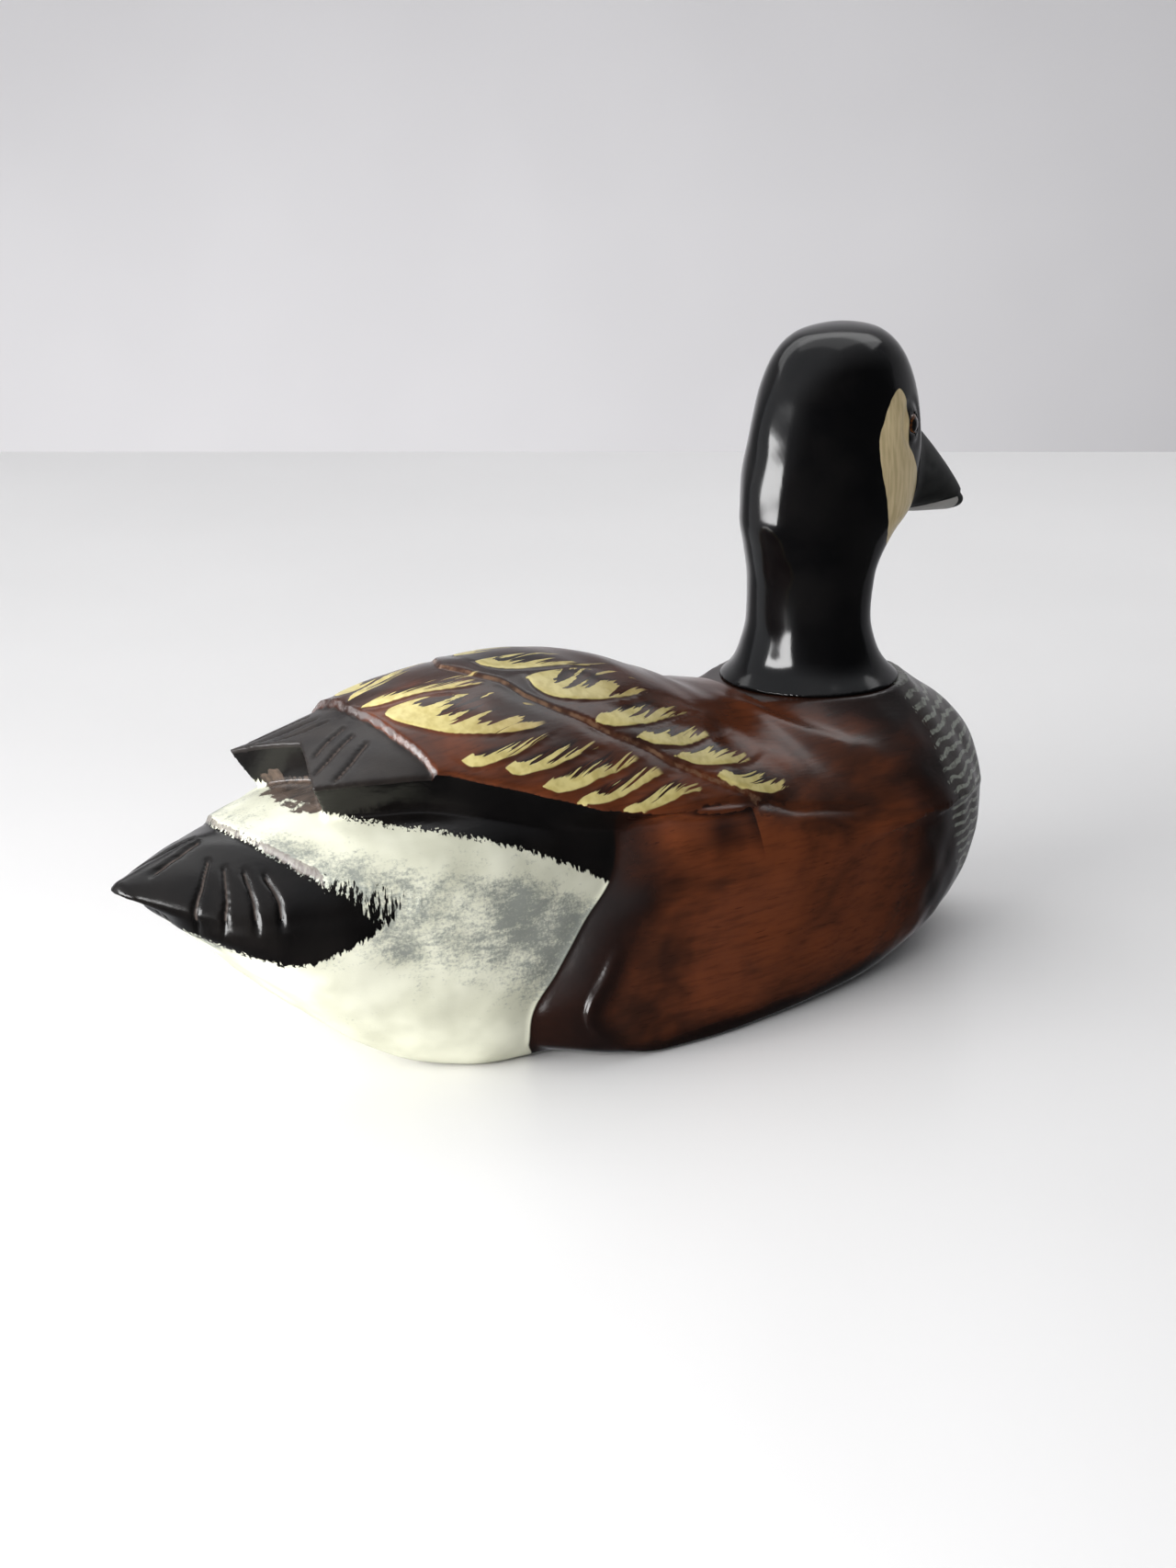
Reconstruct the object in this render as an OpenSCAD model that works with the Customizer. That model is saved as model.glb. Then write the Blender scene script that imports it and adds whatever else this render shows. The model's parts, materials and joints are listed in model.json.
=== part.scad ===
// Carved wooden duck decoy: hollow body, turning head, inlet ballast and line ring.
// +X points to the bill, +Y to the decoy's left, +Z up; the table is z = 0.

/* [Body] */
// Widest part of the body, flank to flank
body_width = 91; // [88:1:96]
// Height of the wing ridge above the table
back_height = 87; // [84:1:90]
// Half width of the wings at their tips
wing_tip_y = 18.9; // [17:0.1:21]
// Depth of the notch between the two wing tips
wing_notch_depth = 9.3; // [6:0.1:12]
// Steps along each carved outline
loft_steps = 26; // [16:2:34]

/* [Hollow] */
// Length of the hollow inside the body
hollow_length = 60; // [50:1:64]
// Width of the hollow inside the body
hollow_width = 46; // [36:1:48]
// Height of the hollow's roof above the table
hollow_top = 46; // [36:1:50]
// Thickness of the board that closes the bottom
board_thickness = 5; // [4:0.5:7]
// Width of the ledge that the board sits on
board_ledge = 6; // [5.5:0.5:6.5]
// Thickness of the sealing bead between board and ledge
seal_thickness = 0.8; // [0.6:0.1:1.2]
// Clear gap around the board
board_gap = 0.2; // [0.1:0.05:0.4]

/* [Ballast] */
// Length of the lead ballast strip
ballast_length = 44; // [30:1:48]
// Width of the lead ballast strip
ballast_width = 22; // [16:1:26]
// Thickness of the lead ballast strip
ballast_height = 6; // [4:0.5:8]

/* [Head] */
// Height of the joint between neck and body
seat_height = 67; // [66:0.5:68]
// Radius of the neck at the joint
neck_radius = 22.5; // [21:0.5:23.5]
// How far the head is turned to the left at rest, degrees
head_rest_turn = 12; // [0:1:20]
// Distance of the neck axis in front of the origin
neck_x = 68; // [66:0.5:70]
// Radius of each glass eye
eye_radius = 3.5; // [3:0.1:4]

/* [Neck bolt] */
// Radius of the bolt that holds the head
bolt_radius = 3; // [2.5:0.25:4]
// Radial running clearance of the bolt in the body
bolt_clearance = 0.08; // [0.05:0.01:0.1]
// Height of the underside of the shelf that the bolt passes through
shelf_bottom = 44; // [40:1:50]
// Radius of the access hole under the shelf
access_radius = 8.5; // [8:0.5:9]

/* [Line ring] */
// Distance of the line ring's pivot in front of the origin
tie_x = 89; // [88:0.5:90]
// Height of the ring's pivot above the table
tie_z = 10; // [9.8:0.1:11]
// Radius of the staple's wire
staple_wire = 1.1; // [0.9:0.1:1.3]
// Radius of the ring's wire
ring_wire = 0.9; // [0.8:0.1:1]
// Radius of the ring to the middle of its wire
ring_radius = 5.2; // [5:0.1:5.3]

/* [Hidden] */
eps = 0.02;
round_fn = 64;

// ---- Outlines -------------------------------------------------------------
// Each row is one cross-section: distance along the outline, then its measures.
// Body rows: x, base half width, base height, half width, its height, top height,
// squareness of the lower and the upper side.
half_w = body_width / 2;
RUMP = [[-124, 1, 50, 3, 51, 52.5, 2, 1.6], [-116, 5, 45.5, 12, 51, 55, 2, 1.6],
        [-103, 8, 35, 22, 48.5, 58.5, 2, 1.7], [-88, 10, 20.5, 28, 46, 62, 2, 1.8],
        [-73, 12, 8, 31.5, 44, 65, 2, 2], [-58, 15, 1.2, 34.5, 42, 67, 2, 2.2],
        [-48, 17.5, 0, 35.5, 40, 68, 2, 2.3], [-18, 20, 0, 36, 38, 70, 2, 2.3],
        [2, 20, 0, 34, 38, 66, 2, 2.3]];
FLANK = [[-28, 30, 0, 36, 26, 52, 2.2, 2.4], [-24, 37, 0, 41, 27, 60, 2.4, 2.4],
         [-18, 41.5, 0, half_w - 1.5, 28, 66, 2.6, 2.4], [1, 43.3, 0, half_w, 28, 68, 2.6, 2.3],
         [25, 39.5, 0, half_w - 0.5, 28, 68, 2.4, 2.2], [54, 32.4, 0, 41, 29, 67.5, 2.2, 2.2],
         [80, 22, 2, 35, 31, 68, 2, 2.2], [97, 13, 5, 27, 32, 63.5, 2, 2.2],
         [109, 7, 11, 19, 33, 56, 2, 2.2], [116.5, 3, 19, 10.5, 34, 47, 2, 2.2],
         [120, 0.5, 30, 1.2, 34, 38, 2, 2]];
// Wing rows: x, half width under the edge, its height, edge half width, edge height, ridge height.
wing_tip_x = -86.3;
// How far the cut between the wing tips runs on past them, as a share of their half width.
past_tip = 1.3;
WINGS = [[wing_tip_x - 3, 10, 58, wing_tip_y - 0.8, 71.5, 73], [-77, 13, 57, 21.5, 71.4, 74.5],
         [-68, 16, 56, 23.5, 71.5, 77.5], [-60, 20, 55, 26, 71, 81],
         [-45, 26, 51, 32, 67, back_height - 2], [-34, 28, 49, 35.5, 63, back_height],
         [-20, 30, 48, 38.5, 58, back_height - 0.7], [0, 30, 46, 40, 54, back_height - 4],
         [15, 30, 45, 40, 52, 77], [27, 28, 45, 38, 52, 72], [42, 24, 45, 34, 53, 69],
         [60, 16, 45, 26, 56, 66]];
// Head rows: height, middle and half length fore and aft, half width.
HEAD = [[seat_height, 0, neck_radius, neck_radius], [68.5, -0.1, 21.3, 21.3],
        [71, -0.3, 18.8, 18.6], [75, -0.6, 17, 16.6], [82, -0.7, 15.8, 15], [92, 0, 16.8, 14.8],
        [101, 2.6, 21.8, 15.6], [108, 5.6, 26.4, 17], [117, 7.2, 27.4, 17.3], [127, 8.4, 26.3, 16.6],
        [136, 8.8, 24, 15.6], [143, 8.8, 20.5, 14], [148, 8.8, 15.8, 11.2], [151.5, 8.8, 9.6, 6.9],
        [152.8, 8.8, 2.5, 2]];
// Bill rows: distance ahead of the neck axis, half width, lower and upper height.
BILL = [[22, 9, 102.5, 131.5], [33, 8.6, 102.4, 128.3], [40, 8, 101.6, 122.8], [47, 7.4, 100.8, 116.4],
        [53, 6.4, 100.2, 110], [56.2, 4.2, 100.2, 105.6], [56.95, 1.6, 100.6, 103.4]];

// ---- Smooth curves through the rows of a table ------------------------------
function secant(t, c, i) = (t[i + 1][c] - t[i][c]) / (t[i + 1][0] - t[i][0]);
function slope(t, c, i) =
    i == 0 ? secant(t, c, 0) :
    i == len(t) - 1 ? secant(t, c, i - 1) :
    let (a = secant(t, c, i - 1), b = secant(t, c, i))
    a * b <= 0 ? 0 : 2 * a * b / (a + b);
function row_before(t, x, i = 0) = i >= len(t) - 2 || x < t[i + 1][0] ? i : row_before(t, x, i + 1);
function curve(t, c, x) =
    let (i = row_before(t, x), h = t[i + 1][0] - t[i][0], s = (x - t[i][0]) / h)
    (2 * s ^ 3 - 3 * s ^ 2 + 1) * t[i][c] + (s ^ 3 - 2 * s ^ 2 + s) * h * slope(t, c, i)
    + (3 * s ^ 2 - 2 * s ^ 3) * t[i + 1][c] + (s ^ 3 - s ^ 2) * h * slope(t, c, i + 1);
function row_at(t, x) = [for (c = [1:len(t[0]) - 1]) curve(t, c, x)];
// Places along a table, closer together near both ends where the outline closes.
function places(t, n) =
    let (a = t[0][0], b = t[len(t) - 1][0])
    [for (i = [0:n]) (a + b) / 2 - (b - a) / 2 * cos(180 * i / n) * 0.35
                     + (b - a) * (i / n - 0.5) * 0.65];

// ---- Cross-sections, from the bottom middle up one side to the top middle ----
function body_half(p) =
    let (wb = p[0], zb = p[1], w = p[2], zw = p[3], zt = p[4], lo = 2 / p[5], up = 2 / p[6])
    concat([[0, zb], [wb / 2, zb]],
           [for (a = [0:13:78]) [wb + (w - wb) * sin(a) ^ lo, zw - (zw - zb) * cos(a) ^ lo]],
           [for (a = [0:10:90]) [w * cos(a) ^ up, zw + (zt - zw) * sin(a) ^ up]]);
function wing_half(p) =
    let (wb = p[0], zb = p[1], w = p[2], ze = p[3], zt = p[4])
    concat([[0, zb], [wb, zb]],
           [for (s = [0:0.125:1]) [w * (1 - s), ze + (zt - ze) * (1 - (1 - s) ^ 2) ^ 0.85]]);
function bill_half(p) =
    let (w = p[0], zl = p[1], zu = p[2], m = zl + (zu - zl) * 0.35)
    concat([for (a = [0:18:72]) [w * sin(a) ^ 0.8, m - (m - zl) * cos(a)]],
           [for (a = [0:15:90]) [w * cos(a) ^ 0.9, m + (zu - m) * sin(a)]]);
function both_sides(h) = concat(h, [for (i = [len(h) - 2:-1:1]) [-h[i][0], h[i][1]]]);

// Skin over a stack of rings that all have the same number of points.
module skin(rings) {
    m = len(rings[0]);
    n = len(rings);
    sides = [for (i = [0:n - 2], j = [0:m - 1])
             let (a = i * m + j, b = i * m + (j + 1) % m)
             each [[b, a, b + m], [b + m, a, a + m]]];
    first = [for (j = [0:m - 1]) j];
    last = [for (j = [m - 1:-1:0]) (n - 1) * m + j];
    polyhedron(points = [for (r = rings) each r], faces = concat(sides, [first, last]));
}
module loft_along_x(t, n, kind) {
    skin([for (x = places(t, n))
          let (p = row_at(t, x), h = kind == 0 ? body_half(p) : kind == 1 ? wing_half(p) : bill_half(p))
          [for (q = both_sides(h)) [x, q[0], q[1]]]]);
}
module neck_and_head() {
    skin([for (z = places(HEAD, 30))
          let (p = row_at(HEAD, z))
          [for (a = [0:10:350]) [p[0] + p[1] * cos(a), p[2] * sin(a), z]]]);
}

// ---- Small shapes -----------------------------------------------------------
module rounded_slab(length, width, height, r) {
    translate([0, -width / 2 + r, 0]) cube([length, width - 2 * r, height]);
    translate([r, -width / 2, 0]) cube([length - 2 * r, width, height]);
    for (x = [r, length - r], y = [-1, 1])
        translate([x, y * (width / 2 - r), 0]) cylinder(r = r, h = height, $fn = round_fn);
}
// Countersunk wood screw, head face at z = 0, pointing up.
module flat_screw(length, r) {
    difference() {
        rotate_extrude($fn = round_fn)
            polygon([[0, 0], [2 * r, 0], [r, r], [r, length - 2 * r], [0, length]]);
        translate([-2.2 * r, -0.35, -eps]) cube([4.4 * r, 0.7, 0.8]);
    }
}
module screw_hole(length, r) {
    rotate_extrude($fn = round_fn)
        polygon([[0, -1], [2 * r + 0.1, -1], [2 * r + 0.1, 0], [r + 0.1, r], [r + 0.1, length], [0, length]]);
}
module in_head() {
    translate([neck_x, 0, 0]) rotate([0, 0, head_rest_turn]) children();
}

// ---- Body ---------------------------------------------------------------------
hollow_x = -12;
corner_r = 8;
board_x = hollow_x - board_ledge;
board_length = hollow_length + 2 * board_ledge;
board_width = hollow_width + 2 * board_ledge;
screw_r = 1.2;
screw_length = 12;
board_screw_x = [board_x + 3, board_x + board_length - 3];
board_screw_y = board_width / 2 - 9;
pocket_radius = 10.5;
pocket_depth = 17;
staple_half_span = 4;
staple_leg = 10;
module outer_body() {
    resize([0, 0, 0]) union() {
        loft_along_x(RUMP, loft_steps, 0);
        loft_along_x(FLANK, loft_steps, 0);
        difference() {
            loft_along_x(WINGS, loft_steps, 1);
            translate([wing_tip_x, 0, 50]) linear_extrude(40)
                polygon([[-9, past_tip * wing_tip_y],
                         [(1 - past_tip) * wing_notch_depth, past_tip * wing_tip_y],
                         [wing_notch_depth, 0],
                         [(1 - past_tip) * wing_notch_depth, -past_tip * wing_tip_y],
                         [-9, -past_tip * wing_tip_y]]);
        }
        translate([neck_x, 0, 50]) cylinder(r1 = 34, r2 = neck_radius + 0.6, h = seat_height - 49.5, $fn = 48);
    }
}
module body_shell() {
    color("saddlebrown") difference() {
        outer_body();
        // flat seat for the neck
        translate([neck_x, 0, seat_height]) cylinder(r = neck_radius + 6, h = 30, $fn = round_fn);
        // bolt bore and its access hole
        translate([neck_x, 0, 0]) cylinder(r = bolt_radius + bolt_clearance, h = 80, $fn = round_fn);
        translate([neck_x, 0, -1]) cylinder(r = access_radius, h = shelf_bottom + 1, $fn = round_fn);
        // hollow, and the step that takes the bottom board
        translate([hollow_x, 0, -1]) rounded_slab(hollow_length, hollow_width, hollow_top + 1, corner_r);
        translate([board_x - board_gap, 0, -1])
            rounded_slab(board_length + 2 * board_gap, board_width + 2 * board_gap,
                         board_thickness + seal_thickness + 1, corner_r);
        board_screw_places() screw_hole(screw_length + 0.5, screw_r);
        // pocket and leg holes of the line staple
        translate([tie_x, 0, -1]) cylinder(r = pocket_radius, h = pocket_depth + 1, $fn = round_fn);
        for (y = [-1, 1]) translate([tie_x, y * staple_half_span, 0])
            cylinder(r = staple_wire, h = pocket_depth + staple_leg, $fn = round_fn);
    }
}
module board_screw_places() {
    for (x = board_screw_x, y = [-1, 1]) translate([x, y * board_screw_y, 0]) children();
}
module bottom_board() {
    color("burlywood") difference() {
        translate([board_x, 0, 0]) rounded_slab(board_length, board_width, board_thickness, corner_r);
        board_screw_places() screw_hole(screw_length + 0.5, screw_r);
        ballast_screw_places() cylinder(r = screw_r, h = ballast_screw_length, $fn = round_fn);
    }
}
module board_seal() {
    color("dimgray") difference() {
        translate([board_x, 0, board_thickness])
            rounded_slab(board_length, board_width, seal_thickness, corner_r);
        translate([hollow_x, 0, board_thickness - 1])
            rounded_slab(hollow_length, hollow_width, seal_thickness + 2, corner_r);
        board_screw_places() screw_hole(screw_length + 0.5, screw_r);
    }
}
module board_screws() {
    color("gold") board_screw_places() flat_screw(screw_length, screw_r);
}

// ---- Ballast, screwed to the inside of the board -------------------------------
ballast_x = hollow_x + (hollow_length - ballast_length) / 2;
module ballast_screw_places() {
    for (s = [-1, 1])
        translate([ballast_x + ballast_length / 2 + s * (ballast_length / 2 - 7), 0,
                   board_thickness + ballast_height])
            rotate([180, 0, 0]) children();
}
ballast_screw_length = ballast_height + board_thickness - 1;
module ballast_weight() {
    color("slategray") difference() {
        translate([ballast_x, 0, board_thickness])
            rounded_slab(ballast_length, ballast_width, ballast_height, 3);
        ballast_screw_places() screw_hole(ballast_screw_length, screw_r);
    }
}
module ballast_screws() {
    color("silver") ballast_screw_places() flat_screw(ballast_screw_length, screw_r);
}

// ---- Plug, staple and ring under the breast --------------------------------------
module bolt_access_plug() {
    color("peru") translate([neck_x, 0, 3]) cylinder(r = access_radius, h = 9, $fn = round_fn);
}
module line_staple() {
    color("goldenrod") {
        for (y = [-1, 1]) translate([tie_x, y * staple_half_span, tie_z])
            cylinder(r = staple_wire, h = pocket_depth + staple_leg - tie_z - 0.5, $fn = round_fn);
        translate([tie_x, -staple_half_span, tie_z]) rotate([-90, 0, 0])
            cylinder(r = staple_wire, h = 2 * staple_half_span, $fn = round_fn);
        for (y = [-1, 1]) translate([tie_x, y * staple_half_span, tie_z])
            sphere(r = staple_wire, $fn = round_fn);
    }
}
// The ring hangs straight down from the staple's bar, clear of the table.
ring_gap = 0.3;
ring_drop = ring_radius - staple_wire - ring_wire - ring_gap;
module line_ring() {
    color("gold") translate([tie_x, 0, tie_z - ring_drop]) rotate([90, 0, 0])
        rotate_extrude($fn = round_fn) translate([ring_radius, 0]) circle(r = ring_wire, $fn = 24);
}

// ---- Head, turning on the body -------------------------------------------------------
washer_radius = 15;
washer_thickness = 1.2;
washer_recess = 1;
thread_top = seat_height + 34;
eye_x = 19.7;
eye_z = 128;
eye_out = 13.4;
eye_toe = 12;
socket_radius = 4.2;
socket_depth = 4.5;
module eye_place(side) {
    in_head() translate([eye_x, side * eye_out, eye_z]) rotate([0, 0, -side * eye_toe])
        rotate([-side * 90, 0, 0]) children();
}
module head() {
    color([0.06, 0.06, 0.07]) difference() {
        in_head() resize([0, 0, 0]) union() {
            neck_and_head();
            loft_along_x(BILL, 14, 2);
        }
        in_head() translate([0, 0, seat_height - 1])
            cylinder(r = washer_radius + 0.2, h = washer_recess + 1, $fn = round_fn);
        in_head() cylinder(r = bolt_radius, h = thread_top, $fn = round_fn);
        for (side = [-1, 1]) eye_place(side)
            translate([0, 0, -socket_depth]) cylinder(r = socket_radius, h = 20, $fn = round_fn);
    }
}
module eye() {
    color([0.3, 0.16, 0.07]) intersection() {
        translate([0, 0, -eye_radius * 0.35]) sphere(r = eye_radius, $fn = round_fn);
        translate([0, 0, -socket_depth + 1.2]) cylinder(r = eye_radius + 1, h = 20, $fn = round_fn);
    }
}
module right_eye() { eye_place(-1) eye(); }
module left_eye() { eye_place(1) eye(); }
module eye_putty() {
    color("black") for (side = [-1, 1]) eye_place(side) difference() {
        translate([0, 0, -socket_depth]) cylinder(r = socket_radius - 0.02, h = 3.2, $fn = round_fn);
        translate([0, 0, -eye_radius * 0.35]) sphere(r = eye_radius, $fn = round_fn);
        translate([0, 0, -socket_depth + 1.2]) cylinder(r = eye_radius - 0.6, h = 20, $fn = round_fn);
    }
}
module friction_washer() {
    color("sienna") translate([neck_x, 0, seat_height + 0.02]) difference() {
        cylinder(r = washer_radius, h = washer_recess - 0.04, $fn = round_fn);
        translate([0, 0, -1]) cylinder(r = bolt_radius + 0.1, h = 4, $fn = round_fn);
    }
}
washer_h = 1.2;
spring_h = 1.6;
nut_h = 5;
bolt_bottom = shelf_bottom - washer_h - spring_h - nut_h - 3;
module neck_bolt() {
    color("silver") translate([neck_x, 0, bolt_bottom])
        cylinder(r = bolt_radius, h = thread_top - bolt_bottom - 1, $fn = round_fn);
}
module disc_with_hole(z, r, h, hole) {
    translate([neck_x, 0, z]) difference() {
        cylinder(r = r, h = h, $fn = round_fn);
        translate([0, 0, -1]) cylinder(r = hole, h = h + 2, $fn = round_fn);
    }
}
module shelf_washer() {
    color("silver") disc_with_hole(shelf_bottom - washer_h - 0.03, 7, washer_h, bolt_radius + 0.15);
}
module spring_washer() {
    color("gray") difference() {
        disc_with_hole(shelf_bottom - washer_h - spring_h - 0.03, 5.2, spring_h, bolt_radius + 0.15);
        translate([neck_x, 0, shelf_bottom - washer_h - spring_h - 1]) rotate([0, 0, 30])
            translate([0, -0.5, 0]) cube([8, 1, spring_h + 2]);
    }
}
module lock_nut() {
    color("silver") translate([neck_x, 0, shelf_bottom - washer_h - spring_h - nut_h - 0.03]) difference() {
        cylinder(r = 5.75, h = nut_h, $fn = 6);
        translate([0, 0, -1]) cylinder(r = bolt_radius, h = nut_h + 2, $fn = round_fn);
    }
}

body_shell();
bottom_board();
board_seal();
board_screws();
ballast_weight();
ballast_screws();
bolt_access_plug();
line_staple();
line_ring();
head();
right_eye();
left_eye();
eye_putty();
friction_washer();
neck_bolt();
shelf_washer();
spring_washer();
lock_nut();
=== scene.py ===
"""Looks of the carved duck decoy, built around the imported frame.

The two carvings (body and neck-and-head) are modelled as distance fields in
millimetres, cut into meshes, and painted by node materials that read smooth
values stored on the vertices.
"""
import json
import math

import bpy
import numpy as np
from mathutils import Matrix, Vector


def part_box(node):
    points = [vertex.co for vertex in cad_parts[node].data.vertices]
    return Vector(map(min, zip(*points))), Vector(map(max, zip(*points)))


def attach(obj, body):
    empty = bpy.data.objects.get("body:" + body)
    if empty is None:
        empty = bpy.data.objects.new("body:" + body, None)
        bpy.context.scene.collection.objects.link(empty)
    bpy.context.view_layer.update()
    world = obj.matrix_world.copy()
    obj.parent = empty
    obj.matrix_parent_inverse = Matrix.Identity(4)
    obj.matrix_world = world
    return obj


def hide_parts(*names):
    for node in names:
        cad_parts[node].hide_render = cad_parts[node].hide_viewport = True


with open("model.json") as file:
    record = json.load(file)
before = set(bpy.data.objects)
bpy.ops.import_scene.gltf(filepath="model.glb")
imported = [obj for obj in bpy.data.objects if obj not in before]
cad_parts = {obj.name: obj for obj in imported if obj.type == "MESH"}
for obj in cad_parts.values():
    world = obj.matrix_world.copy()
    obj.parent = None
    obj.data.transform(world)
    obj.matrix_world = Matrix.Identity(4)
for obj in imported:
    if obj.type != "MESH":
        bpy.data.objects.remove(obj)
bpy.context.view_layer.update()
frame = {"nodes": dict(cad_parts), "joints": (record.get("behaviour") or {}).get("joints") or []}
MM = 0.001


# ---------------------------------------------------------------- frame values
def box_mm(node):
    low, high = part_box(node)
    return np.array(low) / MM, np.array(high) / MM


JOINTS = {j["name"]: j for j in frame["joints"]}
NECK = np.array(JOINTS["head_turn"]["pos_m"]) / MM
TIE = np.array(JOINTS["ring_swing"]["pos_m"]) / MM
SEAT_Z = box_mm("head")[0][2]
right_low, right_high = box_mm("right_eye")
left_low, left_high = box_mm("left_eye")
across = (left_low + left_high - right_low - right_high)[:2]
HEAD_TURN = math.atan2(-across[0], across[1])
body_high = box_mm("body_shell")[1]
bolt_high = box_mm("neck_bolt")[1]
board_low, board_high = box_mm("bottom_board")
plug_low, plug_high = box_mm("bolt_access_plug")
washer_low, washer_high = box_mm("shelf_washer")


# ------------------------------------------------------------------ field tools
def column(table, c, x):
    """Column c of a table as a smooth curve that never overshoots its rows."""
    t = np.array(table, float)
    xs, ys = t[:, 0], t[:, c]
    sec = np.diff(ys) / np.diff(xs)
    m = np.concatenate([sec[:1], np.zeros(len(xs) - 2), sec[-1:]])
    both = sec[:-1] * sec[1:]
    flat = np.where(both > 0, sec[:-1] + sec[1:], 1)
    m[1:-1] = np.where(both > 0, 2 * both / flat, 0)
    x = np.clip(x, xs[0], xs[-1])
    k = np.clip(np.searchsorted(xs, x, side="right") - 1, 0, len(xs) - 2)
    h = xs[k + 1] - xs[k]
    s = (x - xs[k]) / h
    return ((2 * s**3 - 3 * s**2 + 1) * ys[k] + (s**3 - 2 * s**2 + s) * h * m[k]
            + (3 * s**2 - 2 * s**3) * ys[k + 1] + (s**3 - s**2) * h * m[k + 1])


def soft_column(table, c, x, reach=3.0):
    """column() averaged over a few millimetres, so that its rows leave no crease."""
    return sum(w * column(table, c, x + k * reach)
               for k, w in ((-2, 0.0625), (-1, 0.25), (0, 0.375), (1, 0.25), (2, 0.0625)))


def smooth_min(a, b, k):
    h = np.clip(0.5 + 0.5 * (b - a) / k, 0, 1)
    return b + (a - b) * h - k * h * (1 - h)


def smooth_max(a, b, k):
    return -smooth_min(-a, -b, k)


def step(a, b, x):
    """0 below a, 1 above b, smooth between."""
    t = np.clip((x - a) / (b - a), 0, 1)
    return t * t * (3 - 2 * t)


def distance_like(f, axes):
    """Rescales a field so that it grows by about 1 per millimetre."""
    g = np.gradient(f, *axes)
    size = np.sqrt(sum(v * v for v in g))
    return f / np.maximum(size, 0.25)


def to_polyline(px, py, line):
    """Signed distance to an open 2-D line (positive on its left) and the way along it, 0 to 1."""
    line = np.array(line, float)
    best = np.full(np.broadcast(px, py).shape, 1e9)
    sign = np.ones_like(best)
    along = np.zeros_like(best)
    lengths = np.hypot(*np.diff(line, axis=0).T)
    total = lengths.sum()
    done = 0.0
    for (ax, ay), (bx, by), size in zip(line[:-1], line[1:], lengths):
        t = np.clip(((px - ax) * (bx - ax) + (py - ay) * (by - ay)) / size**2, 0, 1)
        ex, ey = px - ax - t * (bx - ax), py - ay - t * (by - ay)
        d = np.hypot(ex, ey)
        nearer = d < best
        best = np.where(nearer, d, best)
        sign = np.where(nearer, np.sign((bx - ax) * (py - ay) - (by - ay) * (px - ax)), sign)
        along = np.where(nearer, (done + t * size) / total, along)
        done += size
    return best * np.where(sign == 0, 1, sign), along


def surface_net(f, X, Y, Z):
    """Mesh of the f = 0 surface: one vertex in each mixed cell, one quad over each crossed edge."""
    axes = (X, Y, Z)
    inside = f < 0
    nx, ny, nz = f.shape
    corner = [(i, j, k) for i in (0, 1) for j in (0, 1) for k in (0, 1)]
    part = [inside[i:nx - 1 + i, j:ny - 1 + j, k:nz - 1 + k] for i, j, k in corner]
    count = sum(p.astype(np.int8) for p in part)
    ci, cj, ck = np.nonzero((count > 0) & (count < 8))
    ids = np.full((nx - 1, ny - 1, nz - 1), -1, np.int32)
    ids[ci, cj, ck] = np.arange(len(ci))
    total = np.zeros((len(ci), 3))
    hits = np.zeros(len(ci))
    for a in corner:
        for axis in range(3):
            if a[axis]:
                continue
            b = list(a)
            b[axis] = 1
            ia, ja, ka = ci + a[0], cj + a[1], ck + a[2]
            ib, jb, kb = ci + b[0], cj + b[1], ck + b[2]
            fa, fb = f[ia, ja, ka], f[ib, jb, kb]
            cross = (fa < 0) != (fb < 0)
            t = np.where(cross, fa / np.where(cross, fa - fb, 1), 0)
            p = np.stack([X[ia] + t * (X[ib] - X[ia]), Y[ja] + t * (Y[jb] - Y[ja]),
                          Z[ka] + t * (Z[kb] - Z[ka])], 1)
            total += p * cross[:, None]
            hits += cross
    verts = total / hits[:, None]
    quads = []
    for axis in range(3):
        u, v = (axis + 1) % 3, (axis + 2) % 3
        lo = [slice(None)] * 3
        hi = [slice(None)] * 3
        lo[axis], hi[axis] = slice(0, -1), slice(1, None)
        change = inside[tuple(lo)] != inside[tuple(hi)]
        at = np.array(np.nonzero(change)).T
        edge_max = [len(axes[n]) - 1 for n in range(3)]
        ok = ((at[:, u] > 0) & (at[:, v] > 0) & (at[:, u] < edge_max[u]) & (at[:, v] < edge_max[v]))
        at = at[ok]
        ring = []
        for du, dv in ((1, 1), (0, 1), (0, 0), (1, 0)):
            c = at.copy()
            c[:, u] -= du
            c[:, v] -= dv
            ring.append(ids[c[:, 0], c[:, 1], c[:, 2]])
        q = np.stack(ring, 1)
        flip = ~inside[at[:, 0], at[:, 1], at[:, 2]]
        q[flip] = q[flip][:, ::-1]
        quads.append(q)
    return verts, np.concatenate(quads)


def sample(f, axes, p):
    """Trilinear value of a grid field at points p."""
    idx, frac = [], []
    for n in range(3):
        i = np.clip(np.searchsorted(axes[n], p[:, n], side="right") - 1, 0, len(axes[n]) - 2)
        idx.append(i)
        frac.append((p[:, n] - axes[n][i]) / (axes[n][i + 1] - axes[n][i]))
    out = 0
    for a in (0, 1):
        for b in (0, 1):
            for c in (0, 1):
                w = ((frac[0] if a else 1 - frac[0]) * (frac[1] if b else 1 - frac[1])
                     * (frac[2] if c else 1 - frac[2]))
                out = out + w * f[idx[0] + a, idx[1] + b, idx[2] + c]
    return out


def slope_at(f, axes, p, reach=0.35):
    g = np.zeros_like(p)
    for n in range(3):
        e = np.zeros(3)
        e[n] = reach
        g[:, n] = (sample(f, axes, p + e) - sample(f, axes, p - e)) / (2 * reach)
    return g


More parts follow.
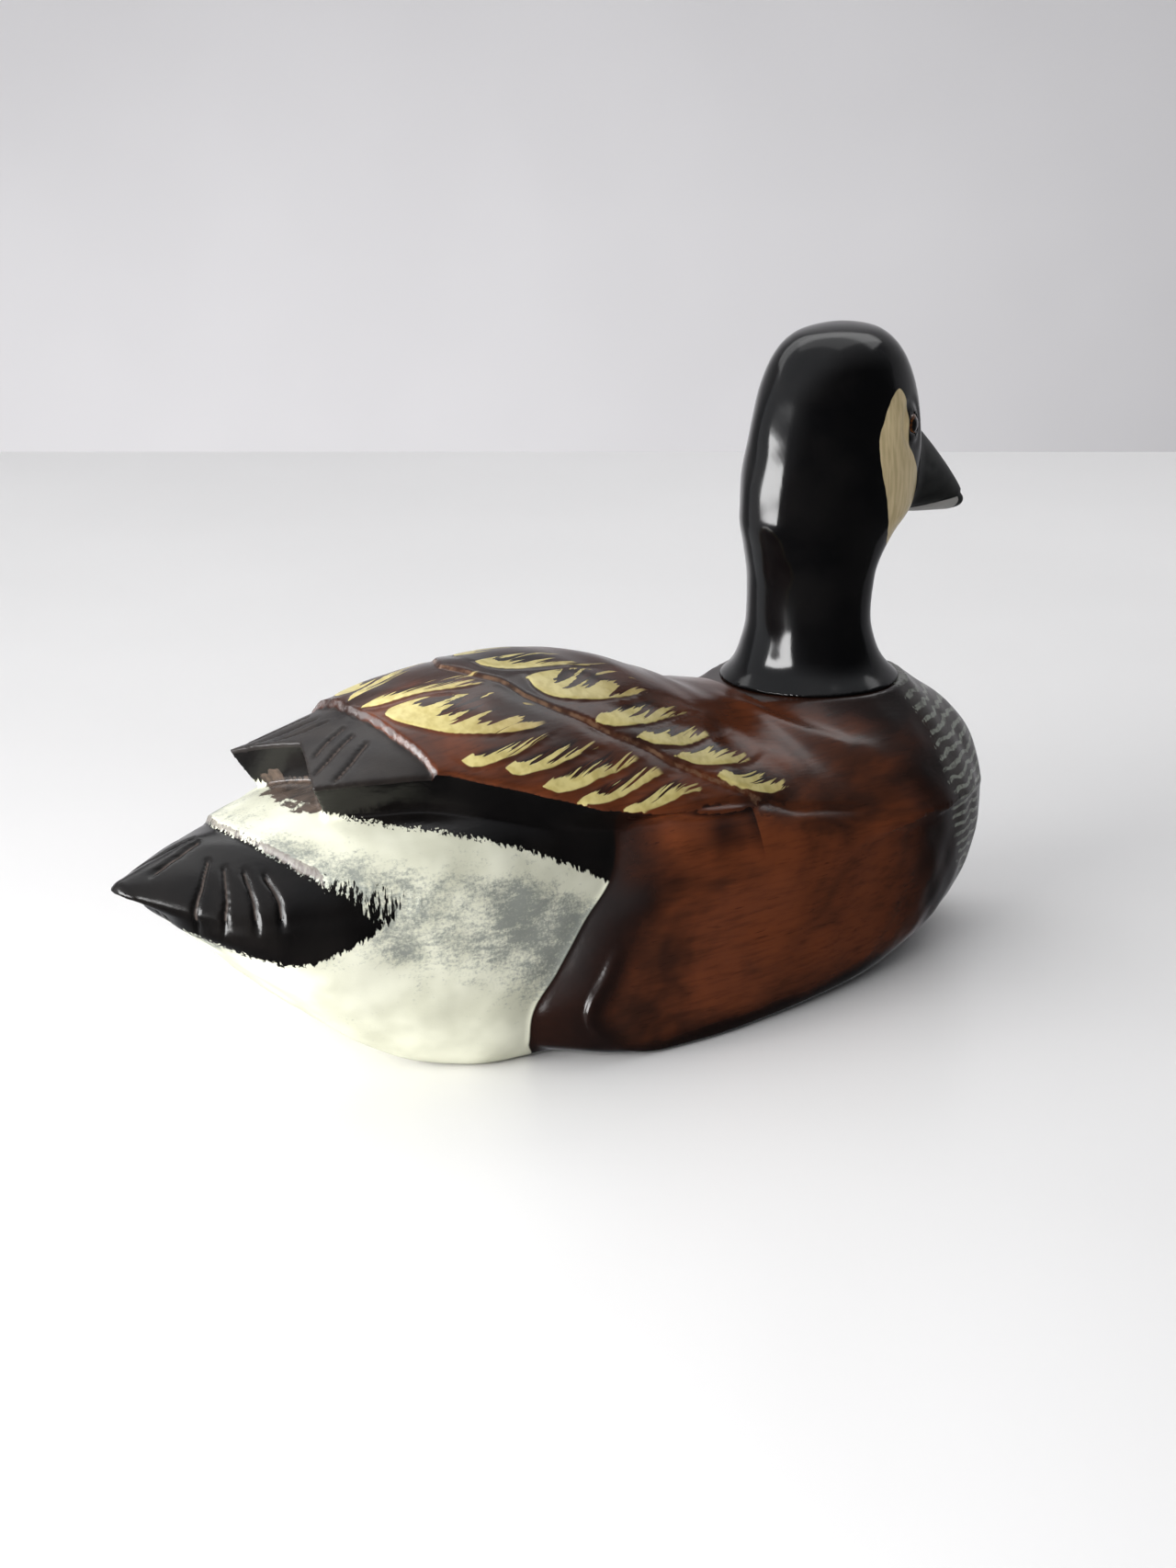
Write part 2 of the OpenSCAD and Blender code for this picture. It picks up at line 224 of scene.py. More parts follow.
def carve(f, axes, rounds=3):
    """Corners and quads of a field's surface, with the corners pulled onto it."""
    verts, quads = surface_net(f, *axes)
    for _ in range(rounds):
        g = slope_at(f, axes, verts)
        move = sample(f, axes, verts)[:, None] * g / np.maximum((g * g).sum(1), 0.2)[:, None]
        verts = verts - np.clip(move, -0.3, 0.3)
    return verts, quads


def make_mesh(name, verts, quads):
    mesh = bpy.data.meshes.new(name)
    mesh.vertices.add(len(verts))
    mesh.vertices.foreach_set("co", (verts * MM).astype(np.float32).ravel())
    mesh.loops.add(len(quads) * 4)
    mesh.loops.foreach_set("vertex_index", quads.astype(np.int32).ravel())
    mesh.polygons.add(len(quads))
    mesh.polygons.foreach_set("loop_start", np.arange(0, len(quads) * 4, 4, dtype=np.int32))
    mesh.polygons.foreach_set("loop_total", np.full(len(quads), 4, np.int32))
    mesh.polygons.foreach_set("use_smooth", np.ones(len(quads), bool))
    mesh.update()
    mesh.validate()
    obj = bpy.data.objects.new(name, mesh)
    bpy.context.scene.collection.objects.link(obj)
    return obj


def store(obj, name, values):
    """Per-vertex value or vector that a material reads by name."""
    values = np.asarray(values, np.float32)
    kind, key = ("FLOAT", "value") if values.ndim == 1 else ("FLOAT_VECTOR", "vector")
    layer = obj.data.attributes.new(name, kind, "POINT")
    layer.data.foreach_set(key, values.ravel())


# --------------------------------------------------------------- body outlines
# x, base half width, base height, half width, its height, top height, squareness below and above
RUMP = [(-124, 1, 48.5, 3, 49.5, 52, 2, 1.5), (-116, 5, 43.5, 11.5, 47, 55, 2.1, 1.5),
        (-103, 8, 34, 22.5, 43.5, 58.8, 2.2, 1.55), (-88, 10, 20.5, 29, 42.5, 62, 2.1, 1.7),
        (-73, 12, 8, 32, 43, 65, 2, 2), (-58, 17, 0.8, 34.8, 41, 67, 2.1, 2.2),
        (-46, 25, 0, 36, 39, 68, 2.2, 2.3), (-18, 27, 0, 36, 38, 70, 2.2, 2.3),
        (2, 20, 0, 34, 38, 66, 2, 2.3)]
FLANK = [(-45, 42, 0, 45, 28, 64, 2.6, 2.4), (-18, 42.5, 0, 45.2, 28, 66, 2.6, 2.4),
         (1, 43.3, 0, 45.5, 28, 68, 2.6, 2.3),
         (25, 39.5, 0, 45, 28, 68, 2.4, 2.2), (54, 32.4, 0, 41, 29, 67.5, 2.2, 2.2),
         (80, 22, 2, 35, 31, 68, 2, 2.2), (97, 13, 5, 27, 32, 63.5, 2, 2.2),
         (109, 7, 11, 19, 33, 56, 2, 2.2), (116.5, 3, 19, 10.5, 34, 47, 2, 2.2),
         (120, 0.5, 30, 1.2, 34, 38, 2, 2)]
# height, place of the flank's rear edge
FLANK_REAR = [(0, -20), (5, -27), (12.4, -30.5), (22, -25.5), (33, -18.8), (41, -12), (52, -6.6),
              (64, -1)]
# x, half width under the edge, its height, edge half width, edge height, ridge height
WINGS = [(-89.3, 10, 58, 18.1, 71.5, 73.4), (-77, 13, 57, 21.5, 71.5, 76.5),
         (-68, 17, 56, 24.5, 71.5, 79.5), (-60, 20, 55, 26.5, 71, 82),
         (-45, 26, 51, 32, 67, 85.6), (-34, 28, 49, 35.5, 63, 87),
         (-20, 30, 48, 38.5, 58, 86.6), (0, 30, 46, 40, 54, 83.2),
         (15, 30, 45, 40, 52, 77.5), (27, 28, 45, 38, 52, 72.5), (42, 24, 45, 34, 53, 69.5),
         (60, 16, 45, 26, 56, 66)]
WING_TIP = np.array([-86.3, 18.9, 72.1])
WING_END_NORMAL = np.array([-0.82, -0.45, -0.33])


def body_outline(table, x, y, z):
    wb, zb, w, zw, zt, lo, up = (soft_column(table, c, x) for c in range(1, 8))
    ay = np.abs(y)
    above = ((ay / w) ** up + (np.maximum(z - zw, 0) / (zt - zw)) ** up) ** (1 / up) - 1
    below = ((np.maximum(ay - wb, 0) / (w - wb)) ** lo
             + (np.maximum(zw - z, 0) / (zw - zb)) ** lo) ** (1 / lo) - 1
    return np.where(z >= zw, above * w, below * (w - np.minimum(ay, wb)))


def wing_crown(x, y):
    w, ze, zt = (column(WINGS, c, x) for c in (3, 4, 5))
    inside = np.clip(1 - (y / w) ** 2, 0, 1)
    return ze + (zt - ze) * inside ** 0.85 - 1.6 * np.maximum(np.abs(y) - w, 0)


# ------------------------------------------------- carved lines, right side out
# plan places (x, distance from the ridge) unless a name says otherwise
BLADE_STEP = [(-57, 34), (-59.3, 23), (-61.9, 15.6), (-63.1, 6), (-63.8, 0)]
TAIL_STEP = [(-66, 33.5), (-70.6, 31.7), (-78.3, 29.4), (-85.8, 24.9), (-90.1, 19), (-93.3, 13.1),
             (-96.6, 5), (-98, 0)]
BLADE_CUTS = [[(-67.5, 3.2), (-72.4, 4.8), (-79, 8.2)], [(-68.1, 7.6), (-74.4, 10.2), (-82.8, 14.3)],
              [(-67.4, 12.5), (-73, 15.2), (-80.5, 18.6)]]
TAIL_CUTS = [[(-104.7, 7.4), (-108.6, 11.4), (-113, 14.6)], [(-102.7, 11), (-105.3, 16.4), (-108.3, 19.2)],
             [(-99.5, 14), (-100.4, 19.2), (-101.9, 23.5)], [(-96.1, 16.9), (-95.6, 21.7), (-96.9, 25.4)],
             [(-103.4, 1.2), (-110, 2.2), (-117.1, 3.2)]]
# (x, way out over the back from the ridge)
CAPE = [(-41, -3), (-39, 2.8), (-35.9, 8.8), (-31.7, 12.4), (-28.7, 18.3), (-22.8, 23.6), (-17.9, 26.9),
        (-11.4, 31.3), (-3.2, 35.4), (0.5, 38.5), (12.3, 42), (24, 45)]
# lower edge from the tip, upper edge from the tip, share of the width that is cream along the lower
# edge; the large feathers come first and also have cream on their upper edges
FEATHERS = [
    ([(-62.6, 3), (-60, 5.6), (-50, 8.6), (-40, 11.2), (-31, 13)],
     [(-62.6, 2.4), (-58, 2.4), (-48, 4), (-34, 8)], 0.8),
    ([(-60.8, 10), (-60, 14.1), (-52.7, 21.9), (-45.9, 25.3), (-36.3, 27.9), (-27, 28)],
     [(-60.8, 9.4), (-58.5, 7.6), (-53.2, 8.9), (-42.6, 12.8), (-34, 16), (-24, 23)], 0.8),
    ([(-33, 4), (-32.6, 6.6), (-27.6, 9.5), (-14.4, 10.3), (3, 8.6)],
     [(-33, 3.4), (-29, 2.2), (-18, 2.6), (-6, 3.8), (4, 7.4)], 0.75),
    ([(-25, 13.4), (-25.4, 16.8), (-22.5, 20.8), (-13.8, 22.6), (-5.8, 22.3), (7, 18.4)],
     [(-25, 12.6), (-20.4, 11.2), (-10.4, 10.6), (0.3, 10.8), (8, 14.2)], 0.75),
    ([(-15.4, 28.4), (-11.7, 30), (-5, 30), (4.4, 27.4), (20, 20)],
     [(-15.4, 28), (-13.8, 26.4), (-7.2, 23.8), (2.3, 21.2), (14, 18.6)], 0.8),
    ([(-5.9, 33), (-2.2, 34.7), (4.5, 34.7), (12.2, 31.9), (26, 24.4)],
     [(-5.9, 32.4), (-3.4, 30.8), (4, 28.4), (15, 24.6)], 0.8),
    ([(2.6, 37.6), (6.4, 39), (14.1, 38.3), (23.3, 35.7), (31.6, 31)],
     [(2.6, 37), (6.4, 34.6), (15, 31), (24, 28.6)], 0.8),
    ([(12.1, 41.4), (14.9, 43.2), (21.8, 43.8), (27.7, 42.9), (40, 39)],
     [(12.1, 40.8), (14.3, 38.8), (22, 36.8), (32, 35)], 0.8),
    ([(-52, 29.8), (-50.6, 32.2), (-44.7, 33.6), (-36, 32.6), (-25, 29)],
     [(-52, 29.2), (-48, 28.8), (-40, 29), (-28, 28.4)], 0.75),
    ([(-43, 35.4), (-41.8, 37.7), (-36, 38.6), (-26, 37), (-11.4, 33)],
     [(-43, 34.8), (-38, 33.4), (-30, 32.8), (-18, 29.6)], 0.72),
    ([(-35.4, 42.2), (-32.7, 43.9), (-27, 44), (-17.2, 41.6), (-2, 36)],
     [(-35.4, 41.4), (-30, 38.6), (-20, 36.6), (-9, 32.8)], 0.72),
    ([(-27.9, 46.8), (-24, 48.2), (-18, 47.6), (-10, 44.6), (4, 39)],
     [(-27.9, 46), (-23, 43.6), (-14, 41.2), (-4, 37.2)], 0.72),
    ([(-17.6, 50.4), (-13, 51), (-5.5, 49.4), (2.6, 46.4), (13, 42.6)],
     [(-17.6, 49.6), (-12, 47), (-4, 43.4), (6, 40.2)], 0.72),
]
# heights where the black under the wings starts, and where the tail's black ends
BAND_LINE = [(-90, 66.5), (-84.6, 64.6), (-75.8, 61.2), (-67.4, 59.3), (-58.5, 57.6), (-49, 54.8),
             (-40.6, 51.6), (-34, 48.5), (-24.9, 43.8), (-15, 38)]
TAIL_LINE = [(-126, 46.5), (-112, 40.5), (-103, 36), (-94.3, 32.8), (-89.7, 33.5), (-84.5, 35.8),
             (-78.9, 38.4), (-72.8, 41.7), (-70.6, 45.9), (-69, 60)]
# plan line of the ridge from the back down the shoulder, and (place, height) of the groove under the wing
SHOULDER = [(28, 7), (33.9, 13.1), (40.6, 19.3), (46.9, 25.4), (55.5, 30.5), (66, 33.4)]
CREASE = [(-22, 56), (-13, 53.2), (4, 54.3), (13, 53.7), (24, 51.6), (31.6, 48.6), (41.4, 46.9), (56, 44)]
# height, place where the chest's bars start
BAR_LINE = [(0, 99), (14, 97), (22.8, 94), (36.9, 87.4), (48.9, 83.7), (59.2, 82.8), (67, 78.8), (72, 77)]


def eased(line, passes=2):
    """Corner-cut copy of an open line that keeps its ends."""
    pts = np.array(line, float)
    for _ in range(passes):
        mid = np.stack([0.75 * pts[:-1] + 0.25 * pts[1:], 0.25 * pts[:-1] + 0.75 * pts[1:]], 1).reshape(-1, 2)
        pts = np.concatenate([pts[:1], mid, pts[-1:]])
    return pts


FEATHERS = [(eased(low), eased(up), share) for low, up, share in FEATHERS]

ARC_STEP = 0.5
arc_x = np.arange(-96, 66, 1.0)
arc_a = np.arange(0, 50, ARC_STEP)
arc_rise = np.diff(wing_crown(arc_x[:, None], arc_a[None, :]), axis=1)
ARC = np.concatenate([np.zeros((len(arc_x), 1)), np.cumsum(np.hypot(arc_rise, ARC_STEP), axis=1)], 1)


def way_out(x, a):
    """Arc length over the back from the ridge to the plan point (x, a)."""
    i = np.clip(x - arc_x[0], 0, len(arc_x) - 1.001)
    j = np.clip(a / ARC_STEP, 0, len(arc_a) - 1.001)
    i0, j0 = i.astype(int), j.astype(int)
    fi, fj = i - i0, j - j0
    low = ARC[i0, j0] * (1 - fi) + ARC[i0 + 1, j0] * fi
    return low * (1 - fj) + (ARC[i0, j0 + 1] * (1 - fi) + ARC[i0 + 1, j0 + 1] * fi) * fj


def cuts(x, a, lines, half_width):
    """1 in the middle of V cuts along plan lines, thinning towards their ends."""
    deep = np.zeros(np.broadcast(x, a).shape)
    for line in lines:
        d, u = to_polyline(x, a, line)
        across = np.clip(1 - np.abs(d) / half_width, 0, 1)
        deep = np.maximum(deep, across * np.minimum(1, 5 * (1 - u)) ** 0.7)
    return deep


def wing_relief(x, a):
    """How far the carver went below the wings' smooth crown."""
    s = way_out(x, a)
    behind, _ = to_polyline(x, a, BLADE_STEP[::-1])
    depth = 2.1 * step(-0.25, 0.35, behind)
    cape, _ = to_polyline(x, s, CAPE)
    depth += 0.95 * step(-0.3, 0.4, cape) * np.exp(-np.maximum(cape, 0) / 8) * (behind < 0)
    edge = np.zeros_like(depth)
    for low, up, _ in FEATHERS:
        d, u = to_polyline(x, s, low)
        near = step(-0.3, 0.35, d) * np.exp(-np.maximum(d, 0) / 2.2) * np.minimum(1, 4 * (1 - u))
        edge = np.maximum(edge, 0.5 * near)
    return depth + edge + 1.1 * cuts(x, a, BLADE_CUTS, BLADE_CUT_HALF) * (behind > 0)


def tail_relief(x, a):
    beyond, _ = to_polyline(x, a, TAIL_STEP[::-1])
    return 1.3 * step(-0.4, 0.3, beyond) + 1.1 * cuts(x, a, TAIL_CUTS, TAIL_CUT_HALF)


REAR_SLANT = 0.95
REAR_EDGE_OUT = 43.5
REAR_LIMIT = -41.0


def flank_rear(a, z):
    """How far back the flank reaches: a slanted face, stopped where it meets the rump."""
    slanted = column(FLANK_REAR, 1, z) - REAR_SLANT * (REAR_EDGE_OUT - a)
    return smooth_max(slanted, np.full_like(a * z, REAR_LIMIT), 5)


# ------------------------------------------------------------------ body field
HOLLOW_TOP = 46
HOLLOW_WALL = 6
POCKET_R = 10.5
POCKET_TOP = 17
BOLT_BORE_R = 3.08
BOLT_BORE_FROM = 30
SHELF_Z = 44
SEAT_R = 28.5
HALF_WIDTH = 45.4
TAIL_END = -123.6
BLADE_CUT_HALF = 0.75
TAIL_CUT_HALF = 0.8


def wings_part(x, a, z, top, steep):
    """The folded wings: a crown over slanted sides, ended behind by one flat face."""
    above = (z - top[:, :, None]) / np.sqrt(1 + steep * steep)[:, :, None]
    wb, zb, w, ze = (column(WINGS, c, x) for c in (1, 2, 3, 4))
    slant = (w - wb) / (ze - zb)
    side = (a - wb - slant * (z - zb)) / np.sqrt(1 + slant * slant)
    n = WING_END_NORMAL
    end = (x - WING_TIP[0]) * n[0] + (a - WING_TIP[1]) * n[1] + (z - WING_TIP[2]) * n[2]
    end = np.maximum(end, x - 58)
    return smooth_max(smooth_max(above, side, 0.6), smooth_max(end, zb - z, 0.4), 0.4)


def shoulder_cone(r, z):
    """The rise from the back up to the head's round seat."""
    cone = r - (34 - 0.623 * (z - 50))
    return np.maximum(np.maximum(cone * 0.85, z - SEAT_Z - 0.6), 40 - z)


def hand_waviness(x, y, z):
    return (0.16 * np.sin(0.21 * x + 0.9 * np.sin(0.13 * z) + 0.6) * np.sin(0.19 * y + 0.11 * x)
            + 0.1 * np.sin(0.47 * x + 0.31 * y) * np.sin(0.39 * z + 1.1))


def body_openings(x, y, z, r):
    """Fields of the bores, the ring's pocket, the board's recess and the hollow above it."""
    mid = (board_low + board_high) / 2
    half = (board_high - board_low) / 2 + 0.2
    from_mid, out = np.abs(x - mid[0]), np.abs(y)
    rabbet = np.maximum(np.maximum(from_mid - half[0], out - half[1]), z - board_high[2] - 0.8)
    hollow = np.maximum(np.maximum(from_mid - half[0] + HOLLOW_WALL, out - half[1] + HOLLOW_WALL),
                        z - HOLLOW_TOP)
    return [np.maximum(r - BOLT_BORE_R, BOLT_BORE_FROM - z),
            np.maximum(r - (plug_high[0] - plug_low[0]) / 2, z - SHELF_Z),
            np.maximum(r - (washer_high[0] - washer_low[0]) / 2 - 0.2, z - SHELF_Z),
            np.maximum(np.hypot(x - TIE[0], y) - POCKET_R, z - POCKET_TOP), rabbet, hollow]


def body_field():
    X = np.concatenate([np.arange(-126, 46, 0.6), np.arange(46, 122.5, 0.95)])
    Y = np.arange(-48, 48.3, 0.64)
    Z = np.concatenate([np.arange(-2.2, 44, 1.1), np.arange(44, 89.5, 0.56)])
    axes = (X, Y, Z)
    x, y, z = X[:, None, None], Y[None, :, None], Z[None, None, :]
    a = np.abs(y)
    flat_x, flat_a = np.broadcast_arrays(X[:, None], np.abs(Y)[None, :])

    rump = distance_like(body_outline(RUMP, x, y, z), axes)
    rump = rump + tail_relief(flat_x, flat_a)[:, :, None] * step(40, 44, z) * (x < -60)
    rump = smooth_max(np.maximum(rump, x - 1), TAIL_END - x, 2.5)
    flank = distance_like(body_outline(FLANK, x, y, z), axes)
    flank = smooth_max(flank, x - body_high[0] + 1.2, 6)
    flank = smooth_max(flank, (flank_rear(a, z) - x) / 1.4, 8)
    f = smooth_min(flank, rump, 0.9)

    top = wing_crown(flat_x, flat_a) - wing_relief(flat_x, flat_a)
    steep = np.gradient(wing_crown(flat_x, flat_a), Y, axis=1)
    f = smooth_min(f, wings_part(x, a, z, top, steep), 0.8)

    r = np.hypot(x - NECK[0], y - NECK[1])
    f = smooth_min(f, shoulder_cone(r, z), 6)
    ridge, _ = to_polyline(flat_x, flat_a, SHOULDER)
    raised = 0.9 * np.exp(-(ridge / 2.6) ** 2) * step(28, 40, flat_x) * (1 - step(58, 70, flat_x))
    crease, _ = to_polyline(x, z, CREASE)
    groove = 0.7 * np.exp(-(crease / 0.9) ** 2) * step(33, 36, a)
    groove = groove * (1 - step(46, 56, x)) * step(-20, -14, x)
    f = f + hand_waviness(x, y, z) * step(3, 9, z) + 0.16
    f = f - raised[:, :, None] * step(44, 50, z) + groove
    f = np.maximum(f, -np.maximum(SEAT_Z - z, r - SEAT_R))
    f = np.maximum(smooth_max(f, a - HALF_WIDTH, 1.2), -z)

    for opening in body_openings(x, y, z, r):
        f = np.maximum(f, -opening)
    return f.astype(np.float32), axes


def line_at(line, x):
    places, heights = zip(*line)
    return np.interp(x, places, heights)


LARGE_FEATHERS = 4
COMB_SCALE = 5.5


def feather_values(x, y, s):
    """Depth inside the nearest feather, inside its cream, the way along it, and its brush strokes' place."""
    edge = np.full(len(x), -9.0)
    comb = np.full(len(x), -9.0)
    along = np.zeros(len(x))
    stroke = np.zeros((len(x), 3))
    for number, (low, up, share) in enumerate(FEATHERS):
        d, u = to_polyline(x, s, low)
        e, v = to_polyline(x, s, up)
        inside = np.minimum(-d, e)
        inside = np.minimum(inside, 4 * (1 - np.maximum(u, v)))
        width = np.maximum(-d + e, 0.5)
        reach = share * np.clip(1.02 - u, 0, 1) ** 0.75 + (1 - share) * np.clip(1 - u / 0.2, 0, 1)
        lower = (reach + d / width) * COMB_SCALE
        upper = (0.32 * np.clip(1 - v / 0.45, 0, 1) - e / width) * COMB_SCALE
        upper = upper - 3 * (number >= LARGE_FEATHERS)
        mine = inside > edge
        edge = np.where(mine, inside, edge)
        comb = np.where(mine, np.maximum(lower, upper), comb)
        along = np.where(mine, u, along)
        length = np.hypot(*np.diff(np.array(low), axis=0).T).sum()
        here = np.stack([u * length, -d / width * 6 - 0.2 * u * length,
                         np.full(len(x), number * 3.7) + 20 * (y > 0)], 1)
        stroke = np.where(mine[:, None], here, stroke)
    return edge, comb, along, stroke


def paint_body(obj, p):
    """Stores what the body's paint needs at each vertex, in millimetres, positive inside a colour."""
    x, y, z = p.T
    a = np.abs(y)
    s = way_out(x, a)
    top = wing_crown(x, a) - wing_relief(x, a)
    wing = 1.1 - (top - z) * 0.75
    wing = np.where((a < column(WINGS, 3, x) + 0.5) & (x < 60), wing, -5)
    behind, _ = to_polyline(x, a, BLADE_STEP[::-1])
    store(obj, "wing", np.clip(wing, -5, 5))
    store(obj, "blade", np.clip(behind, -20, 20))
    rump = body_outline(RUMP, x, y, z)
    flank = body_outline(FLANK, x, y, z)
    flank = np.maximum(flank, (flank_rear(a, z) - x) / 1.4)
    is_flank = np.where(x > -14, 5.0, rump - flank)
    store(obj, "flank", np.clip(is_flank, -5, 5))
    store(obj, "band", np.clip(z - line_at(BAND_LINE, x), -20, 20))
    plan, _ = to_polyline(x, a, TAIL_STEP[::-1])
    store(obj, "tail", np.clip(np.minimum(plan, z - line_at(TAIL_LINE, x)), -20, 20))
    store(obj, "tail_edge", np.clip(np.abs(plan + 0.2) + 20 * ((z < 45) | (x > -86)), 0, 20))
    store(obj, "bars", np.clip(x - line_at(BAR_LINE, z), -20, 20))
    on_blade = cuts(x, a, BLADE_CUTS, BLADE_CUT_HALF) * (behind > 0) * (wing > 0)
    cut = np.maximum(on_blade, cuts(x, a, TAIL_CUTS, TAIL_CUT_HALF) * (z > 44))
    store(obj, "cut", cut)
    cape, _ = to_polyline(x, s, CAPE)
    store(obj, "cape", np.clip(np.where(wing > 0, cape, -20), -20, 20))

    edge, comb, along, stroke = feather_values(x, y, s)
    edge = np.where(wing > 0, edge, -9)
    store(obj, "feather", np.stack([np.clip(edge, -9, 9), np.clip(comb, -9, 9), along], 1))
    store(obj, "stroke", stroke)
    under = line_at(BAND_LINE, x) - z
    store(obj, "brushed", step(3, 11, under) * (1 - step(24, 40, under)) - 0.5)
    raw = 2.6 - np.hypot((x + 78) / 1.8, z - 63.6) - np.maximum(a - 8, 0) * 0.4
    store(obj, "raw", np.clip(raw, -9, 9))
    seat = np.hypot(x - NECK[0], y - NECK[1])
    # Darker near the base, behind and along the flank's rear edge, just under the wing edge, towards the
    # chest, round the neck seat and over the wing tops: partly the finish's sprayed dark edges, partly
    # painted shade.
    spray_and_painted_shade = np.maximum.reduce([
        1 - step(0, 9, z), 0.9 * (1 - step(0, 14, x - flank_rear(a, z))) * (x < 20) * (wing < 0),
        0.75 * (1 - step(0, 5, np.abs(top - z - 1))) * (x < 20) * (wing < 0),
        0.8 * step(48, 95, x), 0.8 * (1 - step(24, 36, seat)), 0.42 * (wing > 0)])
    store(obj, "spray_and_painted_shade", np.clip(spray_and_painted_shade, 0, 1))


# ------------------------------------------------------------------ head field
# height, centre, half length, half width
HEAD = [(60, 0, 31, 31), (65, 0, 24.6, 24.6), (67, 0, 22.5, 22.5), (68.5, -0.1, 21, 21),
        (71, -0.3, 18.8, 18.6), (75, -0.6, 17, 16.6), (82, -0.7, 15.8, 15), (92, 0, 16.8, 14.8),
        (101, 2.6, 21.8, 15.6), (108, 5.6, 26.4, 17), (117, 7.2, 27.4, 17.3), (127, 8.4, 26.3, 16.6),
        (136, 8.8, 24, 15.6), (143, 8.8, 20.6, 14.2), (147.5, 8.8, 17, 12.1), (150.3, 8.8, 13.2, 9.4),
        (152, 8.8, 9, 6.4), (153, 8.8, 4, 3)]
# place, half width, lower and upper height
BILL = [(18, 9, 103, 133), (26, 9, 102, 131), (33, 8.6, 102.4, 128.3), (40, 8, 101.6, 122.8),
        (47, 7.4, 100.8, 116.4), (53, 6.4, 100.2, 110), (56.2, 4.2, 100.2, 105.6), (56.95, 1.6, 100.6, 103.4)]
EYE = (19.45, 12.2, 128)


def head_field():
    X = np.arange(-26, 61, 0.58)
    Y = np.arange(-25, 25.3, 0.58)
    Z = np.arange(65, 156, 0.62)
    axes = (X, Y, Z)
    x, y, z = X[:, None, None], Y[None, :, None], Z[None, None, :]
    a = np.abs(y)
    cx, length, width = (soft_column(HEAD, c, z, 0.8) for c in (1, 2, 3))
    skull = (np.sqrt(((x - cx) / length) ** 2 + (y / width) ** 2) - 1) * np.minimum(length, width)
    skull = smooth_max(distance_like(skull, axes), z - 152.4, 2.0)
    hw, low, high = (column(BILL, c, x) for c in (1, 2, 3))
    zc = low * 0.62 + high * 0.38
    part = np.where(z > zc, (z - zc) / (high - zc), (zc - z) / (zc - low))
    bill = ((np.abs(y / hw) ** 2.1 + np.abs(part) ** 1.8) ** (1 / 1.9) - 1) * np.minimum(hw, (high - low) / 2)
    bill = np.maximum(distance_like(bill, axes), np.maximum(16 - x, x - 56.95))
    mouth = 104.2 + 0.05 * (x - 40)
    bill = bill + 0.55 * np.exp(-((z - mouth) / 0.55) ** 2) * step(27, 33, x)
    f = smooth_min(skull, bill, 3.2)
    socket = np.sqrt((x - EYE[0]) ** 2 + (a - EYE[1]) ** 2 + (z - EYE[2]) ** 2)
    f = f + 0.45 * np.exp(-((socket - 5.6) / 1.3) ** 2) - 0.25 * np.exp(-((socket - 4.2) / 0.7) ** 2)
    f = np.maximum(f, 3.4 - socket)
    nostril = np.sqrt(((x - 36.5) / 2.6) ** 2 + ((a - 6.4) / 1.4) ** 2 + ((z - 114.2) / 1.0) ** 2)
    f = f + 0.5 * np.exp(-nostril ** 2)
    f = f + 0.12 * np.sin(0.3 * z + 0.2 * x) * np.sin(0.33 * y + 0.2) + 0.1
    f = np.maximum(f, SEAT_Z - z)
    r = np.hypot(x, y)
    f = np.maximum(f, -np.maximum(r - 2.9, z - bolt_high[2]))
    return f.astype(np.float32), axes


# the cheek patch as a closed outline in (place, height)
CHEEK = [(13.2, 138.4), (17.2, 135), (17, 129), (16.7, 125), (19, 121), (23, 117), (25.4, 113), (25, 107),
         (20, 101), (13.4, 97.6), (9.8, 104), (7.6, 110), (5.8, 115), (4.4, 120), (4.2, 125), (5.8, 130),
         (9, 135)]


def closed_distance(px, py, outline):
    """Signed distance to a closed outline, positive inside."""
    pts = np.array(outline + outline[:1], float)
    best = np.full(px.shape, 1e9)
    crossings = np.zeros(px.shape, int)
    for (ax, ay), (bx, by) in zip(pts[:-1], pts[1:]):
        t = np.clip(((px - ax) * (bx - ax) + (py - ay) * (by - ay)) / ((bx - ax) ** 2 + (by - ay) ** 2), 0, 1)
        best = np.minimum(best, np.hypot(px - ax - t * (bx - ax), py - ay - t * (by - ay)))
        if ay != by:
            hit = ((ay > py) != (by > py)) & (px < ax + (py - ay) * (bx - ax) / (by - ay))
            crossings += hit
    return np.where(crossings % 2 == 1, best, -best)


def rounded(outline, passes=3):
    """Corner-cut copy of a closed outline."""
    pts = np.array(outline, float)
    for _ in range(passes):
        after = np.roll(pts, -1, axis=0)
        pts = np.stack([0.75 * pts + 0.25 * after, 0.25 * pts + 0.75 * after], 1).reshape(-1, 2)
    return [tuple(q) for q in pts]


def paint_head(obj, p):
    x, y, z = p.T
    store(obj, "cheek", np.where(np.abs(y) > 4, closed_distance(x, z, rounded(CHEEK)), -9))
    edge_of_bill = x - (27.5 + 0.1 * (118 - z)) - 0.06 * (np.abs(y) - 6) ** 2
    store(obj, "bill", np.clip(edge_of_bill, -9, 9))
    # Pale strip along the lower edge of the bill: a painted reflection of the pale table on the glossy bill.
    lower = np.minimum(104 + 0.05 * (x - 40) - z, np.minimum(x - 31, 51.5 - x + 0.3 * (103 - z)))
    store(obj, "bill_underside_reflection", np.clip(lower, -9, 9))


def turned(p, angle, centre):
    c, s = math.cos(angle), math.sin(angle)
    q = p.copy()
    q[:, 0] = centre[0] + c * p[:, 0] - s * p[:, 1]
    q[:, 1] = centre[1] + s * p[:, 0] + c * p[:, 1]
    return q


